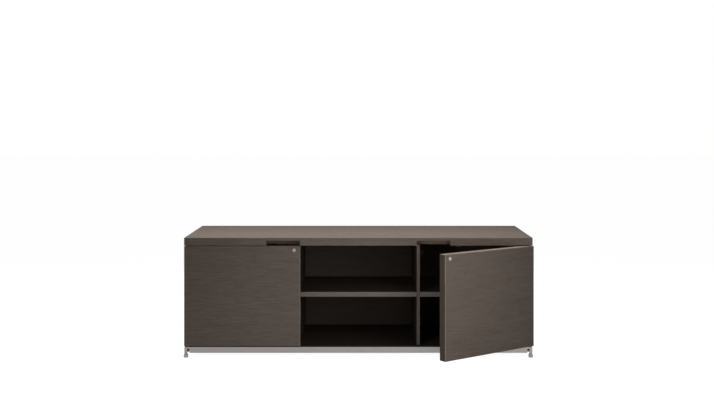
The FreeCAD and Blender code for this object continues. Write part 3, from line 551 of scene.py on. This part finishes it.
def softCorners(tree, mesh, sharpDegrees):
    smooth = addNode(tree, "GeometryNodeSetShadeSmooth", {"Geometry": mesh})
    angle = addNode(tree, "GeometryNodeInputMeshEdgeAngle")
    gentle = addNode(tree, "FunctionNodeCompare", {
        "A": angle.outputs[0], "B": math.radians(sharpDegrees)}, operation="LESS_THAN")
    return addNode(tree, "GeometryNodeSetShadeSmooth", {
        "Geometry": smooth.outputs[0], "Shade Smooth": gentle.outputs[0]},
        domain="EDGE").outputs[0]


# Lifts a shape by half its disc, so that it sits on its place, and softens its corners.
def seated(tree, mesh, height, part, sharpDegrees):
    lift = addNode(tree, "ShaderNodeMath", {0: height, 1: part / 2}, operation="MULTIPLY")
    seat = addNode(tree, "ShaderNodeCombineXYZ", {2: lift.outputs[0]})
    return addNode(tree, "GeometryNodeTransform", {
        "Geometry": softCorners(tree, mesh, sharpDegrees),
        "Translation": seat.outputs[0]}).outputs[0]


# Pan heads with a cross recess, each turned its own way as a fitter leaves them.
screwShape = {
    "sides": 20,
    "crown": ((0.35, 0.86), (0.25, 0.55)),    # each step's share of the rise, then its width
    "crossLength": 0.58,
    "crossWidth": 0.13,
    "crossDepth": 0.55,
    "tipShare": 0.2,           # how much of the shank tapers, and to what share of its width
    "tipWidth": 0.3,
    "sharpDegrees": 35,
    "seed": 7,
}


def crossHeadScrews():
    tree, given = startTree("crossHeadScrews", (
        "Head width", "Head rise", "Shank width", "Shank length"))
    width, rise = given["Head width"], given["Head rise"]
    lowShare = 1 - sum(step for step, share in screwShape["crown"])
    disc = roundDisc(tree, screwShape["sides"], width, rise, lowShare)
    ratio = addNode(tree, "ShaderNodeMath", {0: given["Shank width"], 1: width},
                    operation="DIVIDE")
    tip = screwShape["tipShare"]
    mesh, end = disc["Mesh"], disc["Bottom"]
    for part, share in ((0.0, ratio.outputs[0]), (1 - tip, 1.0), (tip, screwShape["tipWidth"])):
        mesh, end = stepUp(tree, mesh, end, given["Shank length"], part, share)
    end = disc["Top"]
    for part, share in screwShape["crown"]:
        mesh, end = stepUp(tree, mesh, end, rise, part, share)
    # The bars that cut the recess stand half above the head, so they are twice as tall as it is.
    long, thin, tall, top = [
        addNode(tree, "ShaderNodeMath", {0: size, 1: share}, operation="MULTIPLY").outputs[0]
        for size, share in ((width, screwShape["crossLength"]), (width, screwShape["crossWidth"]),
                            (rise, 2 * screwShape["crossDepth"]), (rise, 1 - lowShare / 2))]
    level = addNode(tree, "ShaderNodeCombineXYZ", {2: top})
    bars = []
    for sizes in ((long, thin), (thin, long)):
        size = addNode(tree, "ShaderNodeCombineXYZ", {0: sizes[0], 1: sizes[1], 2: tall})
        bar = addNode(tree, "GeometryNodeMeshCube", {"Size": size.outputs[0]})
        bars.append(addNode(tree, "GeometryNodeTransform", {
            "Geometry": bar.outputs[0], "Translation": level.outputs[0]}).outputs[0])
    cut = addNode(tree, "GeometryNodeMeshBoolean", {0: mesh, 1: bars[0]},
                  operation="DIFFERENCE", solver="EXACT")
    tree.links.new(bars[1], cut.inputs[1])
    head = seated(tree, cut.outputs[0], rise, lowShare, screwShape["sharpDegrees"])
    ownTurn = addNode(tree, "FunctionNodeRandomValue", {
        2: 0.0, 3: math.pi / 2, "Seed": screwShape["seed"]})
    spin = addNode(tree, "ShaderNodeCombineXYZ", {2: ownTurn.outputs[1]})
    spun = addNode(tree, "FunctionNodeRotateRotation", {
        0: facingTurn(tree), 1: addNode(tree, "FunctionNodeEulerToRotation", {
            0: spin.outputs[0]}).outputs[0]}, rotation_space="LOCAL")
    placed = addNode(tree, "GeometryNodeInstanceOnPoints", {
        "Points": given["Places"], "Instance": head, "Rotation": spun.outputs[0]})
    return endTree(tree, given, placed.outputs[0])


# Clear buttons that the doors close against, domed so that they touch at one spot.
bumperShape = {
    "sides": 24,
    "foot": 0.3,
    "dome": ((0.3, 0.95), (0.22, 0.78), (0.18, 0.42)),    # as for the screw's crown
    "sharpDegrees": 50,
}


def domedButtons():
    tree, given = startTree("domedButtons", ("Width", "Rise"))
    disc = roundDisc(tree, bumperShape["sides"], given["Width"], given["Rise"],
                     bumperShape["foot"])
    mesh, end = disc["Mesh"], disc["Top"]
    for part, share in bumperShape["dome"]:
        mesh, end = stepUp(tree, mesh, end, given["Rise"], part, share)
    button = seated(tree, mesh, given["Rise"], bumperShape["foot"],
                    bumperShape["sharpDegrees"])
    placed = addNode(tree, "GeometryNodeInstanceOnPoints", {
        "Points": given["Places"], "Instance": button, "Rotation": facingTurn(tree)})
    return endTree(tree, given, placed.outputs[0])


# Weld seams: a row of overlapping ripples, as the welder's hand leaves them.
weldShape = {
    "around": 8,
    "rings": 5,
    "flatness": 0.45,
    "lean": 0.12,              # how much narrower than the widest a ripple may be
    "sharpDegrees": 60,
    "seed": 3,
}


def weldRipples():
    tree, given = startTree("weldRipples", ("Bead width", "Ripple pitch"))
    line = addNode(tree, "GeometryNodeMeshToCurve", {0: given["Places"]})
    spaced = addNode(tree, "GeometryNodeResampleCurve", {
        "Curve": line.outputs[0], "Length": given["Ripple pitch"]}, mode="LENGTH")
    radius = addNode(tree, "ShaderNodeMath", {0: given["Bead width"], 1: 0.5},
                     operation="MULTIPLY")
    ripple = addNode(tree, "GeometryNodeMeshUVSphere", {
        "Segments": weldShape["around"], "Rings": weldShape["rings"],
        "Radius": radius.outputs[0]})
    uneven = addNode(tree, "FunctionNodeRandomValue", {
        2: 1 - weldShape["lean"], 3: 1.0, "Seed": weldShape["seed"]})
    size = addNode(tree, "ShaderNodeCombineXYZ", {
        0: uneven.outputs[1], 1: uneven.outputs[1], 2: weldShape["flatness"]})
    placed = addNode(tree, "GeometryNodeInstanceOnPoints", {
        "Points": spaced.outputs[0],
        "Instance": softCorners(tree, ripple.outputs[0], weldShape["sharpDegrees"]),
        "Scale": size.outputs[0]})
    return endTree(tree, given, placed.outputs[0])


def fit(name, tree, places, sizes, finish, body, replaced=(), lines=()):
    carrier = bpy.data.meshes.new(name + "Places")
    carrier.from_pydata([spot for spot, way in places], lines, [])
    facing = carrier.attributes.new("facing", "FLOAT_VECTOR", "POINT")
    for item, (spot, way) in zip(facing.data, places):
        item.vector = way
    piece = bpy.data.objects.new(name, carrier)
    bpy.context.scene.collection.objects.link(piece)
    modifier = piece.modifiers.new(tree.name, "NODES")
    modifier.node_group = tree
    sizes = {**{size: mm(value) for size, value in sizes.items()}, "Finish": finish}
    for socket in tree.interface.items_tree:
        if socket.name in sizes:
            modifier[socket.identifier] = sizes[socket.name]
    depsgraph = bpy.context.evaluated_depsgraph_get()
    plain = bpy.data.meshes.new_from_object(piece.evaluated_get(depsgraph))
    piece.modifiers.clear()
    piece.data = plain
    plain.materials.clear()
    plain.materials.append(finish)
    bpy.data.meshes.remove(carrier)
    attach(piece, body)
    if replaced:
        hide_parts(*replaced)
    return piece


fittings = {
    "baseScrew": {"Head width": 8, "Head rise": 2.5, "Shank width": 4, "Shank length": 20},
    "camScrew": {"Head width": 8, "Head rise": 2.5, "Shank width": 4, "Shank length": 12},
    "strikerScrew": {"Head width": 5.5, "Head rise": 0.9, "Shank width": 3, "Shank length": 2},
    "catchScrew": {"Head width": 5, "Head rise": 1.5, "Shank width": 2.5, "Shank length": 3},
    "plateScrew": {"Head width": 5, "Head rise": 0.15, "Shank width": 2.5, "Shank length": 1.5},
    "bumper": {"Width": 8, "Rise": 2.7},
    "weld": {"Bead width": 3.4, "Ripple pitch": 1.3},
}
screwTree, buttonTree, weldTree = crossHeadScrews(), domedButtons(), weldRipples()
sides = {"left": -1, "right": 1}

# Where they sit, in millimetres from the middle of the part. What is given once is mirrored to
# the other half, and what sits on a door is given for the closed right door.
seats = {
    "underRail": 23.5,
    "railScrewsAlong": (-600, -200, 200, 600),
    "railScrewsAcross": 260.5,
    "bearer": 312,
    "seamEnd": 254.5,          # the rail's inner edge, where the bearer's end is welded to it
    "seamHalf": 18.5,
    "strikerFace": 322,
    "strikerScrews": (-243, -235),
    "strikerLevel": 539,
    "camScrew": (331.5, -250, 556),
    "plateMiddle": 520,
    "plateFace": -258.5,
    "plateLevel": 571.5,
    "plateScrewOut": 11,
    "bumperAlong": 312,
    "doorInside": -260,
    "bumperLevels": (120.5, 517),
}
underRail = mm(seats["underRail"])
across = seats["railScrewsAcross"]
baseSpots = [(mm(x), mm(y)) for x in seats["railScrewsAlong"] for y in (-across, across)]
baseSpots += [(mm(-seats["bearer"]), 0), (mm(seats["bearer"]), 0)]
fit("baseScrews", screwTree, [((x, y, underRail), (0, 0, -1)) for x, y in baseSpots],
    fittings["baseScrew"], zinc, "carcass", ["base_screws"])
fit("strikerScrews", screwTree,
    [((way * mm(seats["strikerFace"]), mm(y), mm(seats["strikerLevel"])), (way, 0, 0))
     for way in sides.values() for y in seats["strikerScrews"]],
    fittings["strikerScrew"], zinc, "carcass")
for side, way in sides.items():
    fit(side + "CamScrew", screwTree,
        [atDoor(side, [mm(value) for value in seats["camScrew"]], (0, 1, 0))],
        fittings["camScrew"], zinc, side + "_lock", [side + "_cam_screw"])
    out = seats["plateScrewOut"]
    fit(side + "PlateScrews", screwTree,
        [atDoor(side, (mm(seats["plateMiddle"] + x), mm(seats["plateFace"]),
                       mm(seats["plateLevel"])), (0, 1, 0)) for x in (-out, out)],
        fittings["plateScrew"], zinc, side + "_door")
    fit(side + "DoorBumpers", buttonTree,
        [atDoor(side, (mm(seats["bumperAlong"]), mm(seats["doorInside"]), mm(z)), (0, 1, 0))
         for z in seats["bumperLevels"]],
        fittings["bumper"], bumperClear, side + "_door",
        [side + "_door_bumpers"])
seamHalf = seats["seamHalf"]
weldPlaces = [((way * mm(seats["bearer"]) + mm(x), end * mm(seats["seamEnd"]), underRail),
               (0, 0, -1))
              for way in sides.values() for end in (-1, 1) for x in (-seamHalf, seamHalf)]
fit("bearerWelds", weldTree, weldPlaces, fittings["weld"], steelAlongY, "carcass",
    lines=[(2 * i, 2 * i + 1) for i in range(len(weldPlaces) // 2)])
print("screws, bumpers and welds fitted")


# Magnetic catches under the top: a moulded case that hangs on two ears, and two thin steel
# poles that reach a little out of its mouth towards the door's plate.
catch = {
    "centreX": 520,
    "front": -257.2,
    "back": -239.2,
    "top": 580,
    "earsLength": 45,
    "earsThick": 3,
    "earsRound": 5,
    "caseLength": 29,
    "caseDrop": 13,
    "caseRound": 2,
    "wall": 1.3,
    "mouthDepth": 6,
    "poleLength": 24,
    "poleThick": 1.4,
    "poleReach": 1.0,
    "poleHeights": (569.3, 574.4),
    "poleRound": 0.6,
    "poleBevel": 0.15,
    "bevel": 0.35,
    "sunkIn": 0.5,             # how far one closed body of it reaches into the next
    "screwOut": 18.5,
    "sharpDegrees": 40,
}
roundSteps = 4                 # straight pieces in a rounded corner


def roundedSlab(shape, low, high, corner, bevel):
    rings = []
    for level in (low[2], high[2]):
        ring = []
        for x, y, start in ((high[0] - corner, high[1] - corner, 0),
                            (low[0] + corner, high[1] - corner, 90),
                            (low[0] + corner, low[1] + corner, 180),
                            (high[0] - corner, low[1] + corner, 270)):
            for step in range(roundSteps + 1):
                angle = math.radians(start + 90 / roundSteps * step)
                ring.append(shape.verts.new((mm(x + corner * math.cos(angle)),
                                             mm(y + corner * math.sin(angle)), mm(level))))
        rings.append(ring)
    under, over = rings
    count = len(under)
    for i in range(count):
        after = (i + 1) % count
        shape.faces.new((under[i], under[after], over[after], over[i]))
    caps = [shape.faces.new(under[::-1]), shape.faces.new(over)]
    bmesh.ops.bevel(shape, geom=[edge for cap in caps for edge in cap.edges],
                    offset=mm(bevel), segments=2, profile=0.6, affect="EDGES")


def meshPiece(name, shape, finish, body, replaced=()):
    mesh = bpy.data.meshes.new(name)
    shape.to_mesh(mesh)
    shape.free()
    mesh.shade_smooth()
    mesh.set_sharp_from_angle(angle=math.radians(catch["sharpDegrees"]))
    mesh.materials.append(finish)
    piece = bpy.data.objects.new(name, mesh)
    bpy.context.scene.collection.objects.link(piece)
    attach(piece, body)
    if replaced:
        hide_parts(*replaced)
    return piece


caseLow = catch["top"] - catch["caseDrop"]
earsLow = catch["top"] - catch["earsThick"]


# The case with its mouth, the slab with the ears over it, and the two poles in the mouth.
def magneticCatch(cases, poles, x):
    halfCase, halfEars, halfPole = [catch[key] / 2 for key in
                                    ("caseLength", "earsLength", "poleLength")]
    before = set(cases.faces)
    roundedSlab(cases, (x - halfCase, catch["front"], caseLow),
                (x + halfCase, catch["back"], earsLow + catch["sunkIn"]),
                catch["caseRound"], catch["bevel"])
    mouth = min((face for face in cases.faces if face not in before),
                key=lambda face: (round(face.calc_center_median().y, 5), -face.calc_area()))
    bmesh.ops.inset_region(cases, faces=[mouth], thickness=mm(catch["wall"]))
    pushed = bmesh.ops.extrude_discrete_faces(cases, faces=[mouth])["faces"]
    bmesh.ops.translate(cases, vec=(0, mm(catch["mouthDepth"]), 0), verts=pushed[0].verts)
    roundedSlab(cases, (x - halfEars, catch["front"], earsLow),
                (x + halfEars, catch["back"], catch["top"]), catch["earsRound"],
                catch["bevel"])
    for height in catch["poleHeights"]:
        roundedSlab(poles, (x - halfPole, catch["front"] - catch["poleReach"], height),
                    (x + halfPole, catch["front"] + catch["mouthDepth"] + catch["sunkIn"],
                     height + catch["poleThick"]), catch["poleRound"], catch["poleBevel"])


cases, poles = bmesh.new(), bmesh.new()
for way in sides.values():
    magneticCatch(cases, poles, way * catch["centreX"])
earsMiddle = mm((catch["front"] + catch["back"]) / 2)
catchScrewPlaces = [((mm(way * catch["centreX"] + out * catch["screwOut"]), earsMiddle,
                      mm(earsLow)), (0, 0, -1)) for way in sides.values() for out in (-1, 1)]
meshPiece("catchCases", cases, casePlastic, "carcass",
          ["left_catch", "right_catch"])
meshPiece("catchPoles", poles, poleSteel, "carcass")
fit("catchScrews", screwTree, catchScrewPlaces, fittings["catchScrew"], zinc, "carcass")
print("catches fitted")


# Floor and daylight. The white comes from the floor's own colour and from camera rays.
studio = {
    "floorSize": 60.0,
    "floorGrey": 0.20,         # what the camera sees of the lamps on it, and of the shadow
    "floorBounce": 0.80,       # what it sends back up to the object
    "floorGlow": 0.97,
    "worldAmbient": 0.10,
}
# Each lamp's place, aim and size in metres. The strips, front and overhead lamps light the doors
# and the top, and the rear, side and end lamps the back and the two ends. One that doesn't
# shine lights a face without a reflection in it.
lamps = {
    "stripRight": {"place": (0.8, -1.3, 0.7), "aim": (0.2, -0.1, 0.35), "size": (0.3, 0.9),
                   "watts": 6.6},
    "stripLeft": {"place": (-0.2, -1.3, 0.7), "aim": (0.2, -0.1, 0.35), "size": (0.3, 0.8),
                  "watts": 4.6, "shines": False},
    "front": {"place": (0.8, -3.6, 0.7), "aim": (0.2, -0.1, 0.35), "size": (1.0, 1.0),
              "watts": 9.0},
    "overhead": {"place": (-0.3, -0.22, 1.35), "aim": (-0.3, -0.22, 0.35), "size": (2.8, 0.3),
                 "watts": 25.0, "shines": False},
    "rear": {"place": (0.0, 2.6, 1.4), "aim": (0.0, 0.0, 0.35), "size": (3.0, 1.2),
             "watts": 44.0},
    "rightSide": {"place": (3.2, -1.5, 0.5), "aim": (0.7, -0.4, 0.3), "size": (1.0, 0.8),
                  "watts": 3.0},
    "rightEnd": {"place": (2.9, 1.8, 0.5), "aim": (0.9, 0.1, 0.35), "size": (1.2, 1.0),
                 "watts": 40.0},
    "leftEnd": {"place": (-2.9, 1.8, 0.5), "aim": (-0.9, 0.1, 0.35), "size": (1.2, 1.0),
                "watts": 40.0},
}


# The kinds of ray, and whether one is a reflection or comes through something clear.
def raysAndMirror(tree):
    rays = addNode(tree, "ShaderNodeLightPath")
    mirror = addNode(tree, "ShaderNodeMath", {
        0: rays.outputs["Is Glossy Ray"], 1: rays.outputs["Is Transmission Ray"]},
        operation="MAXIMUM")
    return rays, mirror


floorMesh = bpy.data.meshes.new("studioFloor")
half = studio["floorSize"] / 2
floorMesh.from_pydata([(-half, -half, 0), (half, -half, 0), (half, half, 0), (-half, half, 0)],
                      [], [(0, 1, 2, 3)])
floor = bpy.data.objects.new("studioFloor", floorMesh)
bpy.context.scene.collection.objects.link(floor)
floorMaterial = bpy.data.materials.new("paleFloor")
floorMaterial.use_nodes = True
tree = floorMaterial.node_tree
tree.nodes.clear()
rays, mirror = raysAndMirror(tree)
glowLevel = addNode(tree, "ShaderNodeMath", {
    0: rays.outputs["Is Camera Ray"], 1: studio["floorGlow"]}, operation="MULTIPLY")
glow = addNode(tree, "ShaderNodeEmission", {
    "Color": (1, 1, 1, 1), "Strength": glowLevel.outputs[0]})
floorTone = addNode(tree, "ShaderNodeMix", {
    0: rays.outputs["Is Camera Ray"], 6: (studio["floorBounce"],) * 3 + (1,),
    7: (studio["floorGrey"],) * 3 + (1,)}, data_type="RGBA")
matt = addNode(tree, "ShaderNodeBsdfDiffuse", {"Color": floorTone.outputs[2]})
lit = addNode(tree, "ShaderNodeAddShader", {0: glow.outputs[0], 1: matt.outputs[0]})
white = addNode(tree, "ShaderNodeEmission", {"Color": (1, 1, 1, 1), "Strength": 1.0})
seen = addNode(tree, "ShaderNodeMixShader", {
    0: mirror.outputs[0], 1: lit.outputs[0], 2: white.outputs[0]})
addNode(tree, "ShaderNodeOutputMaterial", {"Surface": seen.outputs[0]})
floorMesh.materials.append(floorMaterial)

world = bpy.data.worlds.new("studioWorld")
bpy.context.scene.world = world
world.use_nodes = True
tree = world.node_tree
tree.nodes.clear()
rays, mirror = raysAndMirror(tree)
direct = addNode(tree, "ShaderNodeMath", {
    0: rays.outputs["Is Camera Ray"], 1: mirror.outputs[0]}, operation="MAXIMUM")
strength = addNode(tree, "ShaderNodeMix", {
    0: direct.outputs[0], 2: studio["worldAmbient"], 3: 1.0}, data_type="FLOAT")
sky = addNode(tree, "ShaderNodeBackground", {
    "Color": (1, 1, 1, 1), "Strength": strength.outputs[0]})
addNode(tree, "ShaderNodeOutputWorld", {"Surface": sky.outputs[0]})

for name, lamp in lamps.items():
    lightData = bpy.data.lights.new(name, "AREA")
    lightData.shape = "RECTANGLE"
    lightData.size, lightData.size_y = lamp["size"]
    lightData.energy = lamp["watts"]
    light = bpy.data.objects.new(name, lightData)
    light.location = lamp["place"]
    toAim = Vector(lamp["aim"]) - Vector(lamp["place"])
    light.rotation_euler = toAim.to_track_quat("-Z", "Y").to_euler()
    light.visible_camera = False
    light.visible_glossy = lamp.get("shines", True)
    bpy.context.scene.collection.objects.link(light)
bpy.context.scene.view_settings.view_transform = "Standard"
print("studio lit")
